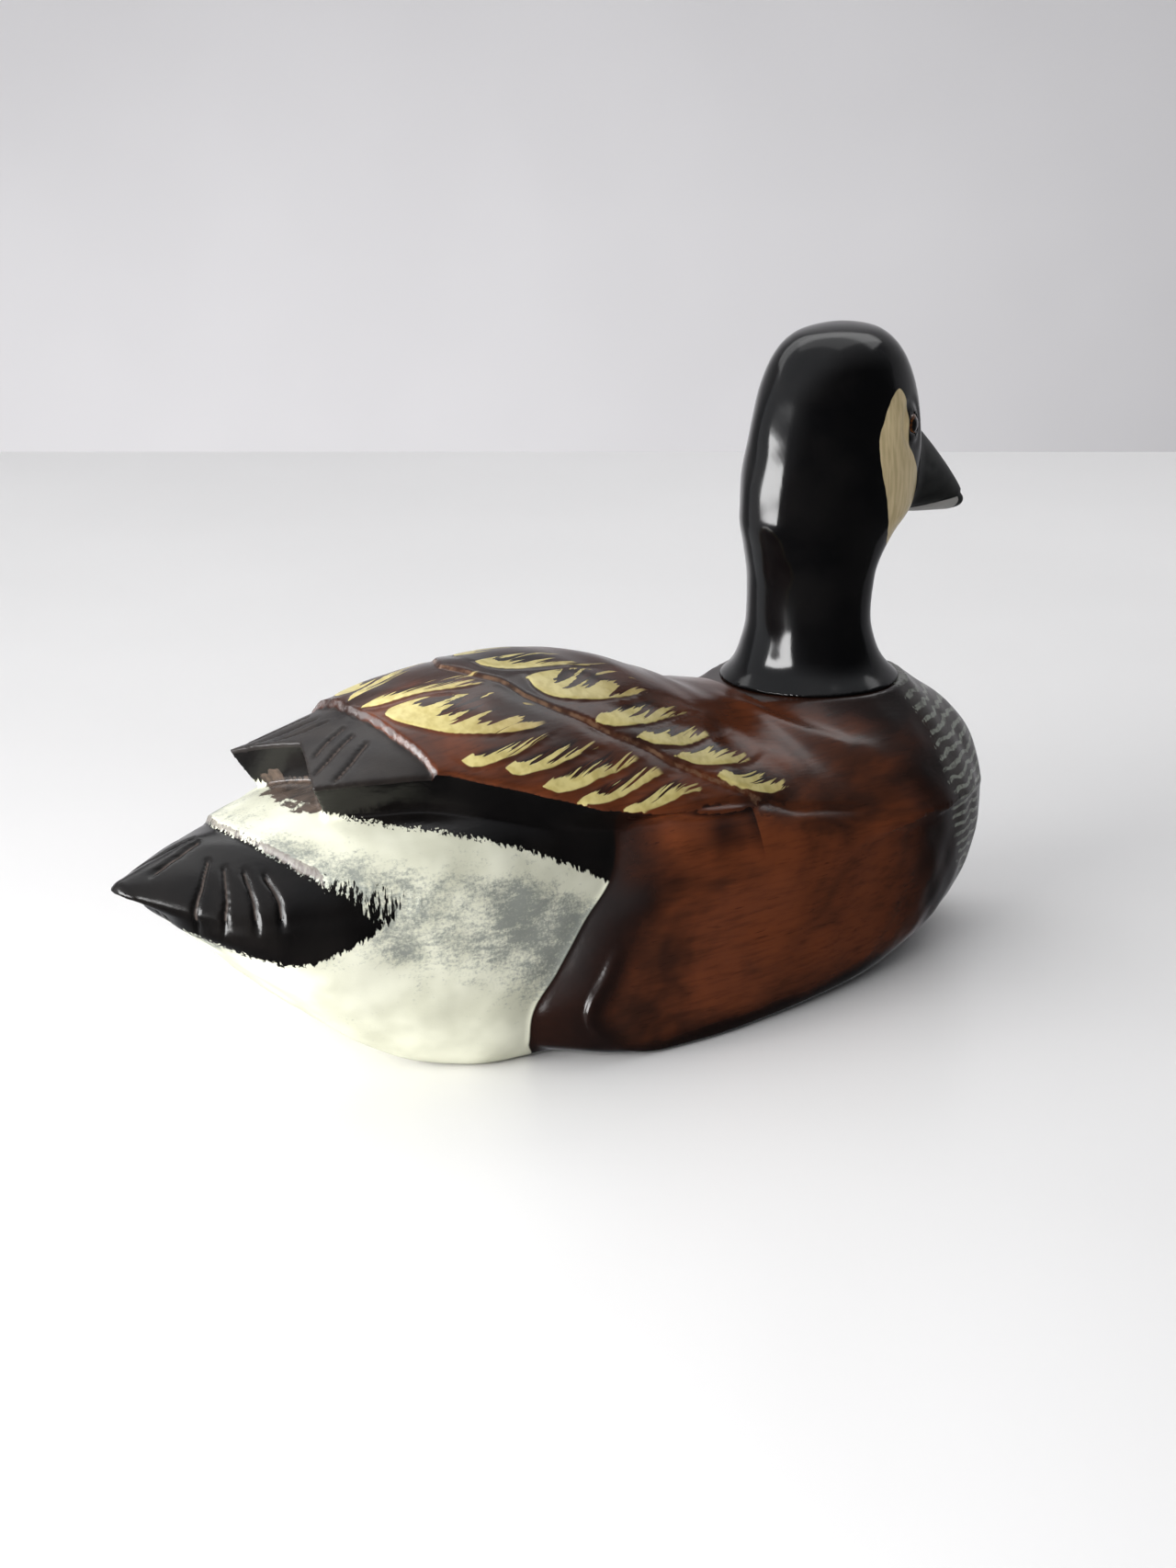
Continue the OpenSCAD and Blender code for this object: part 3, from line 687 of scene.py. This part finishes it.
def head_place(px, py, pz):
    """A point of the head's own frame, in the row frame in metres."""
    return Vector(turned(np.array([[px, py, pz]], float), HEAD_TURN, NECK)[0] * MM)


field, axes = body_field()
verts, quads = carve(field, axes)
verts[:, 2] = np.maximum(verts[:, 2], 0)
body_carving = make_mesh("body_carving", verts, quads)
paint_body(body_carving, verts)
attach(body_carving, "body")
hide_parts("body_shell")

field, axes = head_field()
verts, quads = carve(field, axes)
head_carving = make_mesh("head_carving", turned(verts, HEAD_TURN, NECK), quads)
paint_head(head_carving, verts)
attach(head_carving, "head")
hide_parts("head")


# ------------------------------------------------------------------- materials
def srgb(r, g, b):
    def lin(v):
        v = v / 255
        return v / 12.92 if v <= 0.04045 else ((v + 0.055) / 1.055) ** 2.4
    return (lin(r), lin(g), lin(b), 1)


class Paint:
    """A small hand for building one material's nodes."""

    def __init__(self, name):
        self.mat = bpy.data.materials.new(name)
        self.mat.use_nodes = True
        self.tree = self.mat.node_tree
        self.bsdf = self.tree.nodes["Principled BSDF"]
        self.place = self.tree.nodes.new("ShaderNodeTexCoord").outputs["Object"]

    def put(self, socket, value):
        if isinstance(value, bpy.types.NodeSocket):
            self.tree.links.new(value, socket)
        else:
            socket.default_value = value

    def add(self, kind, inputs, **settings):
        node = self.tree.nodes.new(kind)
        for key, value in settings.items():
            setattr(node, key, value)
        for key, value in inputs.items():
            self.put(node.inputs[key], value)
        return node

    def math(self, operation, a, b=0.0):
        return self.add("ShaderNodeMath", {0: a, 1: b}, operation=operation).outputs[0]

    def plus(self, a, b):
        return self.math("ADD", a, b)

    def times(self, a, b):
        return self.math("MULTIPLY", a, b)

    def most(self, a, b):
        return self.math("MAXIMUM", a, b)

    def stored(self, name):
        return self.add("ShaderNodeAttribute", {}, attribute_name=name)

    def value(self, name):
        return self.stored(name).outputs["Fac"]

    def parts(self, vector):
        return self.add("ShaderNodeSeparateXYZ", {0: vector}).outputs

    def stretched(self, scale, turn=(0, 0, 0), vector=None):
        return self.add("ShaderNodeMapping", {"Vector": vector or self.place, "Scale": scale,
                                              "Rotation": turn}).outputs[0]

    def noise(self, scale, detail=3.0, rough=0.5, vector=None, bend=0.0):
        inputs = {"Vector": vector or self.place, "Scale": scale, "Detail": detail, "Roughness": rough,
                  "Distortion": bend}
        return self.add("ShaderNodeTexNoise", inputs).outputs["Fac"]

    def between(self, value, low, high, out_low=0.0, out_high=1.0):
        node = self.add("ShaderNodeMapRange", {"Value": value, "From Min": low, "From Max": high,
                                               "To Min": out_low, "To Max": out_high},
                        interpolation_type="SMOOTHSTEP")
        return node.outputs[0]

    def mix(self, share, a, b):
        node = self.add("ShaderNodeMix", {0: share, 6: a, 7: b}, data_type="RGBA")
        return node.outputs[2]

    def bump(self, height, strength, distance, before=None):
        inputs = {"Height": height, "Strength": strength, "Distance": distance}
        if before is not None:
            inputs["Normal"] = before
        return self.add("ShaderNodeBump", inputs).outputs[0]

    def finish(self, **sockets):
        for key, value in sockets.items():
            self.put(self.bsdf.inputs[key.replace("_", " ")], value)
        return self.mat


def stained_wood_with_shade(m, fine_grain):
    # Brown stain, grain and pores, darkened at the end by sprayed dark edges and painted shade.
    cloud = m.noise(30, 4, 0.6, m.stretched((0.6, 1, 1.1)), 0.5)
    pores = m.noise(1.0, 2, 0.5, m.stretched((140, 1600, 1600)))
    brown = m.mix(m.between(cloud, 0.35, 0.62), srgb(56, 32, 22), srgb(112, 58, 32))
    brown = m.mix(m.between(fine_grain, 0.42, 0.72, 0, 0.32), brown, srgb(38, 22, 15))
    brown = m.mix(m.between(pores, 0.62, 0.8, 0, 0.5), brown, srgb(24, 12, 9))
    # Sprayed dark edges together with painted shade darken the brown towards near black here.
    spray_and_shade_amount = m.plus(m.value("spray_and_painted_shade"), m.between(m.noise(24, 3, 0.6), 0.3, 0.7, -0.22, 0.22))
    return m.mix(m.between(spray_and_shade_amount, 0.15, 0.8, 0, 0.95), brown, srgb(19, 13, 12))


def with_feathers(m, brown):
    """Feather strokes over the brown: dark brush marks, then cream with combed edges."""
    edge, comb, along = m.parts(m.stored("feather").outputs["Vector"])
    stroke = m.stored("stroke").outputs["Vector"]
    streak = m.noise(1.0, 1, 0.5, m.stretched((0.05, 1.0, 1), vector=stroke))
    hair = m.noise(1.0, 1, 0.5, m.stretched((0.07, 2.6, 1), vector=stroke))
    teeth = m.plus(m.between(streak, 0.3, 0.7, -1.5, 1.3), m.between(hair, 0.3, 0.7, -0.6, 0.5))
    teeth = m.times(teeth, m.between(along, 0.06, 0.4, 0.15, 1.1))
    inside = m.between(edge, 0.05, 0.35)
    cream_here = m.times(inside, m.between(m.plus(comb, teeth), 0.0, 0.3))
    dark_reach = m.plus(m.between(along, 0.3, 1.0, 2.6, -2.2), m.times(teeth, 1.4))
    dark_here = m.times(m.between(edge, 0.3, 1.4), m.between(dark_reach, -0.2, 1.2, 0, 0.8))
    cream = m.mix(m.between(m.noise(420, 2), 0.35, 0.7), srgb(214, 200, 134), srgb(192, 176, 108))
    cream = m.mix(m.between(along, 0.35, 1.0, 0, 0.4), cream, srgb(160, 122, 70))
    colour = m.mix(dark_here, brown, srgb(24, 14, 13))
    return m.mix(cream_here, colour, cream), cream_here


def with_blades(m, colour, wear, blade):
    """Pale lines along the cape and the blades' step, partly worn wood and partly painted highlight on those
    edges, and the grey-brown blades behind it.
    """
    # Pale line along the cape's edge: partly worn wood, partly a painted highlight on the edge.
    cape_wear_and_highlight = m.between(m.math("ABSOLUTE", m.plus(m.value("cape"), -0.15)), 0.55, 0.15)
    cape_wear_and_highlight = m.times(cape_wear_and_highlight, m.between(wear, 0.4, 0.62, 0.1, 0.9))
    colour = m.mix(m.times(cape_wear_and_highlight, 0.6), colour, srgb(140, 108, 84))
    # Grey line along the blades' step: partly worn wood, partly a painted highlight on the step's edge.
    step_wear_and_highlight = m.between(m.math("ABSOLUTE", m.plus(blade, 0.05)), 0.38, 0.12)
    step_wear_and_highlight = m.times(step_wear_and_highlight, m.between(wear, 0.4, 0.62, 0.1, 0.85))
    colour = m.mix(step_wear_and_highlight, colour, srgb(104, 98, 97))
    blade_colour = m.mix(m.between(m.noise(120, 3), 0.3, 0.7), srgb(27, 23, 22), srgb(42, 37, 34))
    return m.mix(m.between(blade, 0.15, 0.5), colour, blade_colour)


def rump_paint(m, worn, wear, bristle):
    """Mottled pale rump, fringed black band and tail, worn tail edge and bare wood between the wings."""
    speck = m.noise(1.0, 3, 0.7, m.stretched((1500, 1500, 1500)))
    patch = m.noise(44, 5, 0.7)
    dry = m.plus(m.times(worn, 0.6), m.times(speck, 0.4))
    place_share = m.plus(m.between(patch, 0.3, 0.7, -0.11, 0.11), m.times(m.value("brushed"), 0.2))
    mottle = m.between(m.plus(dry, place_share), 0.46, 0.7, 0, 0.8)
    rump = m.mix(m.between(m.noise(90, 2), 0.3, 0.7), srgb(222, 222, 203), srgb(200, 200, 180))
    rump = m.mix(mottle, rump, srgb(116, 122, 120))
    fringe = m.between(bristle, 0.3, 0.7, -0.75, 0.75)
    black = m.mix(m.between(m.noise(70, 3), 0.35, 0.7), srgb(9, 8, 8), srgb(20, 18, 17))
    for name in ("band", "tail"):
        rump = m.mix(m.between(m.plus(m.value(name), fringe), -0.1, 0.25), rump, black)
    raw_wood = m.mix(m.between(m.noise(1.0, 4, 0.6, m.stretched((120, 500, 500))), 0.3, 0.7),
                     srgb(92, 78, 68), srgb(50, 43, 39))
    tail_line = m.between(m.plus(m.value("tail_edge"), m.between(wear, 0.3, 0.7, -0.3, 0.4)), 0.55, 0.2)
    rump = m.mix(m.times(tail_line, 0.85), rump, srgb(108, 101, 96))
    raw_here = m.plus(m.value("raw"), m.between(wear, 0.3, 0.7, -1.5, 1.5))
    return m.mix(m.between(raw_here, -0.2, 0.5), rump, raw_wood)


def with_chest_bars(m, colour, bristle):
    _, _, height = m.parts(m.place)
    wobble = m.noise(1.0, 2, 0.5, m.stretched((70, 260, 50)))
    wave = m.plus(m.times(height, 2300.0), m.times(wobble, 9.0))
    line = m.between(m.math("SINE", wave), 0.05, 0.75)
    broken = m.noise(1.0, 3, 0.6, m.stretched((700, 300, 900)))
    line = m.times(line, m.between(broken, 0.35, 0.55, 0.45, 1))
    bars = m.mix(line, srgb(50, 44, 40), srgb(140, 144, 134))
    started = m.between(m.plus(m.value("bars"), m.between(bristle, 0.3, 0.7, -1.6, 1.6)), -0.2, 0.6)
    return m.mix(m.times(started, m.between(height, 0.06, 0.068, 1, 0.6)), colour, bars)


def body_paint():
    m = Paint("lacquered_body")
    fine_grain = m.noise(1.0, 4, 0.6, m.stretched((90, 800, 800), (0, 0.12, 0.06)))
    worn = m.noise(1.0, 6, 0.8, m.stretched((300, 300, 800), (0, 0.3, 0)))
    bristle = m.noise(1.0, 2, 0.6, m.stretched((1500, 1500, 260)))
    wear = m.noise(260, 3, 0.6)
    wing, blade = m.value("wing"), m.value("blade")

    colour, cream_here = with_feathers(m, stained_wood_with_shade(m, fine_grain))
    colour = with_blades(m, colour, wear, blade)
    not_rump = m.most(m.between(m.value("flank"), -0.15, 0.25), m.between(wing, -0.1, 0.25))
    colour = m.mix(not_rump, rump_paint(m, worn, wear, bristle), colour)
    colour = with_chest_bars(m, colour, bristle)
    colour = m.mix(m.between(m.value("cut"), 0.5, 0.9, 0, 0.7), colour, srgb(84, 72, 66))

    painted = m.math("SUBTRACT", 1.0, not_rump)
    for name in ("band", "tail"):
        painted = m.times(painted, m.between(m.value(name), 0.2, -0.2))
    matt = m.times(m.between(blade, 0.15, 0.5), m.between(wing, -0.1, 0.25))
    rough = m.between(m.noise(55, 3), 0.3, 0.7, 0.15, 0.25)
    for share, amount in ((painted, 0.25), (matt, 0.2), (m.value("cut"), 0.4), (cream_here, 0.06)):
        rough = m.plus(rough, m.times(share, amount))
    normal = m.bump(fine_grain, 0.10, 0.0004)
    relief = m.plus(m.times(cream_here, 1.0), m.times(worn, 0.9))
    normal = m.bump(relief, 0.35, 0.00012, normal)
    return m.finish(Base_Color=colour, Roughness=rough, Normal=normal, Specular_IOR_Level=0.38)


def head_paint():
    m = Paint("lacquered_head")
    soft = m.noise(60, 3)
    black = m.mix(m.between(soft, 0.35, 0.7), srgb(5, 5, 6), srgb(15, 14, 14))
    wander = m.between(m.noise(150, 2), 0.3, 0.7, -0.25, 0.25)
    cream = m.mix(m.between(m.noise(1.0, 3, 0.5, m.stretched((900, 900, 120))), 0.3, 0.7),
                  srgb(228, 208, 164), srgb(204, 184, 140))
    cheek = m.between(m.plus(m.value("cheek"), wander), -0.12, 0.15)
    colour = m.mix(cheek, black, cream)
    bill_here = m.between(m.value("bill"), -0.3, 0.5)
    bill = m.mix(m.between(m.noise(1.0, 4, 0.6, m.stretched((140, 500, 500))), 0.3, 0.7),
                 srgb(24, 25, 24), srgb(40, 42, 40))
    colour = m.mix(bill_here, colour, bill)
    # Painted reflection: a pale grey strip along the lower edge of the bill.
    colour = m.mix(m.between(m.value("bill_underside_reflection"), -0.05, 0.15), colour, srgb(170, 168, 165))
    rough = m.plus(m.between(m.noise(45, 3), 0.3, 0.7, 0.10, 0.17), m.times(bill_here, 0.3))
    rough = m.plus(rough, m.times(cheek, 0.08))
    normal = m.bump(m.noise(1.0, 4, 0.55, m.stretched((260, 260, 60))), 0.08, 0.0004)
    return m.finish(Base_Color=colour, Roughness=rough, Normal=normal, Specular_IOR_Level=0.45)


def bare_wood():
    m = Paint("bare_board")
    grain = m.noise(1.0, 5, 0.6, m.stretched((25, 420, 420)), 0.5)
    colour = m.mix(m.between(grain, 0.3, 0.7), srgb(190, 150, 104), srgb(138, 100, 64))
    colour = m.mix(m.between(m.noise(1.0, 3, 0.6, m.stretched((150, 2200, 2200))), 0.6, 0.8, 0, 0.5), colour,
                   srgb(92, 62, 38))
    return m.finish(Base_Color=colour, Roughness=m.between(grain, 0.3, 0.7, 0.45, 0.62),
                    Normal=m.bump(grain, 0.25, 0.0003))


def metal(name, light, dark, rough, scratch=0.1):
    m = Paint(name)
    spots = m.noise(500, 4, 0.6)
    colour = m.mix(m.between(spots, 0.35, 0.7), srgb(*light), srgb(*dark))
    lines = m.noise(1.0, 2, 0.5, m.stretched((300, 3000, 300)))
    return m.finish(Base_Color=colour, Metallic=1.0,
                    Roughness=m.between(spots, 0.3, 0.7, rough, rough + 0.14),
                    Normal=m.bump(lines, scratch, 0.0001))


def soft_part(name, light, dark, rough, scale):
    m = Paint(name)
    cells = m.noise(scale, 4, 0.6)
    colour = m.mix(m.between(cells, 0.35, 0.7), srgb(*light), srgb(*dark))
    return m.finish(Base_Color=colour, Roughness=m.between(cells, 0.3, 0.7, rough, rough + 0.15),
                    Normal=m.bump(cells, 0.3, 0.0002))


def eye_glass(name, side):
    m = Paint(name)
    reach, toe = 3.5, math.radians(12)
    centre = head_place(EYE[0] + reach * math.sin(toe), side * (EYE[1] + reach * math.cos(toe)), EYE[2])
    apart = m.add("ShaderNodeVectorMath", {0: m.place, 1: tuple(centre)}, operation="DISTANCE")
    off_pupil = apart.outputs["Value"]
    rays = m.noise(1.0, 3, 0.6, m.stretched((1500, 1500, 1500)))
    iris = m.mix(m.between(rays, 0.3, 0.7), srgb(128, 74, 26), srgb(66, 34, 14))
    colour = m.mix(m.between(off_pupil, 0.0016, 0.0019), srgb(4, 4, 5), iris)
    colour = m.mix(m.between(off_pupil, 0.0030, 0.0034), colour, srgb(8, 6, 5))
    return m.finish(Base_Color=colour, Roughness=m.between(rays, 0.3, 0.7, 0.03, 0.07), Coat_Weight=1.0,
                    Coat_Roughness=0.02)


def dress(name, material):
    node = frame["nodes"][name]
    node.data.materials.clear()
    node.data.materials.append(material)


body_carving.data.materials.append(body_paint())
head_carving.data.materials.append(head_paint())
brass = metal("brass", (214, 168, 84), (150, 108, 48), 0.24)
steel = metal("steel", (176, 176, 174), (120, 118, 116), 0.28)
lead = metal("lead", (112, 114, 118), (70, 72, 76), 0.5, 0.3)
wood = bare_wood()
for node_name, material in (
        ("bottom_board", wood), ("bolt_access_plug", wood),
        ("board_seal", soft_part("seal_rubber", (34, 34, 35), (18, 18, 19), 0.6, 600)),
        ("board_screws", brass), ("ballast_screws", brass), ("line_staple", brass), ("line_ring", brass),
        ("ballast_weight", lead), ("neck_bolt", steel), ("shelf_washer", steel), ("spring_washer", steel),
        ("lock_nut", steel), ("eye_putty", soft_part("putty", (20, 18, 17), (9, 8, 8), 0.5, 900)),
        ("friction_washer", soft_part("leather", (120, 78, 44), (74, 44, 24), 0.6, 700)),
        ("right_eye", eye_glass("right_eye_glass", -1)), ("left_eye", eye_glass("left_eye_glass", 1))):
    dress(node_name, material)


# ------------------------------------------------------- stage, lights, camera
LOOK = Vector((0.5621, 0.7737, -0.2924)).normalized()
AIM = Vector((-53.8, -75.6, 79.5)) * MM
DISTANCE = 0.635
away = Vector((LOOK.x, LOOK.y, 0)).normalized()
aside = Vector((away.y, -away.x, 0))


def sheet_object(name, corners, material):
    mesh = bpy.data.meshes.new(name)
    mesh.from_pydata([tuple(c) for c in corners], [], [(0, 1, 2, 3)])
    obj = bpy.data.objects.new(name, mesh)
    bpy.context.scene.collection.objects.link(obj)
    mesh.materials.append(material)
    return obj


def plain(name, colour, rough, gloss):
    m = Paint(name)
    tone = m.mix(m.between(m.noise(6, 2), 0.3, 0.7), srgb(*colour), srgb(*[c - 3 for c in colour]))
    return m.finish(Base_Color=tone, Roughness=rough, Specular_IOR_Level=gloss)


centre = Vector((0, 0, 0))


def floor_corners(left, right, front, back):
    plan = ((left, front), (right, front), (right, back), (left, back))
    return [centre + aside * u + away * v for u, v in plan]


floor_white = plain("floor_white", (234, 233, 232), 0.3, 0.3)
TABLE_FRONT, TABLE_BACK = -0.17, 0.673
TABLE_LEFT, TABLE_RIGHT = -0.2, 0.5
table = sheet_object("floor", floor_corners(TABLE_LEFT, TABLE_RIGHT, TABLE_FRONT, TABLE_BACK), floor_white)
table.visible_glossy = False
for side_name, corners in (("front", floor_corners(-3, 3, -3, TABLE_FRONT)),
                           ("left", floor_corners(-3, TABLE_LEFT, TABLE_FRONT, TABLE_BACK)),
                           ("right", floor_corners(TABLE_RIGHT, 3, TABLE_FRONT, TABLE_BACK))):
    outer = sheet_object("floor_" + side_name, corners, floor_white)
    outer.visible_glossy = False
wall = centre + away * 1.7
low = Vector((0, 0, -1.2))
high = Vector((0, 0, 2.6))
sheet_object("backdrop", [wall - aside * 4 + low, wall + aside * 4 + low, wall + aside * 4 + high,
                          wall - aside * 4 + high], plain("backdrop_grey", (236, 234, 236), 0.9, 0.1))


def area_light(name, place, target, width, height, power, colour=(1, 1, 1)):
    data = bpy.data.lights.new(name, "AREA")
    data.shape = "RECTANGLE"
    data.size, data.size_y = width, height
    data.energy = power
    data.color = colour
    obj = bpy.data.objects.new(name, data)
    obj.location = place
    obj.rotation_mode = "QUATERNION"
    obj.rotation_quaternion = (Vector(target) - Vector(place)).to_track_quat("-Z", "Y")
    obj.visible_camera = False
    bpy.context.scene.collection.objects.link(obj)
    return obj


def around(angle, reach, height):
    """A place seen from the object at that angle to the left of the camera."""
    t = math.radians(angle)
    return centre + (-away * math.cos(t) - aside * math.sin(t)) * reach + Vector((0, 0, height))


middle = (0, 0, 0.07)
area_light("window", around(50, 0.62, 0.17), (0.02, 0, 0.1), 0.56, 0.3, 8.6)
area_light("overhead", around(-160, 1.2, 2.4), middle, 3.0, 3.0, 19)
area_light("far_floor", centre + away * 0.4 + Vector((0, 0, 0.62)), centre + away * 0.46, 1.5, 0.4, 2.4)
area_light("wall", wall - away * 0.6 - aside * 0.35 - Vector((0, 0, 0.5)), wall - aside * 0.3, 1.6, 0.3, 6)
world = bpy.data.worlds.new("studio")
world.use_nodes = True
tree = world.node_tree
direction = tree.nodes.new("ShaderNodeTexCoord").outputs["Generated"]
toward = tree.nodes.new("ShaderNodeVectorMath")
toward.operation = "DOT_PRODUCT"
toward.inputs[1].default_value = tuple(away * 0.6 - aside * 0.8 + Vector((0, 0, 0.9)))
tree.links.new(direction, toward.inputs[0])
ramp = tree.nodes.new("ShaderNodeMapRange")
ramp.interpolation_type = "SMOOTHSTEP"
for socket, value in (("From Min", -0.6), ("From Max", 0.7), ("To Min", 0.04), ("To Max", 0.62)):
    ramp.inputs[socket].default_value = value
tree.links.new(toward.outputs["Value"], ramp.inputs["Value"])
seen = tree.nodes.new("ShaderNodeLightPath").outputs["Is Camera Ray"]
plain_back = tree.nodes.new("ShaderNodeMath")
plain_back.operation = "MAXIMUM"
tree.links.new(seen, plain_back.inputs[0])
tree.links.new(ramp.outputs[0], plain_back.inputs[1])
backlight = tree.nodes["Background"]
backlight.inputs["Color"].default_value = (0.88, 0.9, 0.94, 1)
tree.links.new(plain_back.outputs[0], backlight.inputs["Strength"])
bpy.context.scene.world = world
bpy.context.scene.view_settings.view_transform = "Standard"

lens = bpy.data.cameras.new("camera")
lens.lens = 71.7
lens.sensor_width = 36
lens.clip_start, lens.clip_end = 0.01, 20
camera = bpy.data.objects.new("camera", lens)
camera.location = AIM - LOOK * DISTANCE
camera.rotation_mode = "QUATERNION"
camera.rotation_quaternion = LOOK.to_track_quat("-Z", "Y")
bpy.context.scene.collection.objects.link(camera)
bpy.context.scene.camera = camera
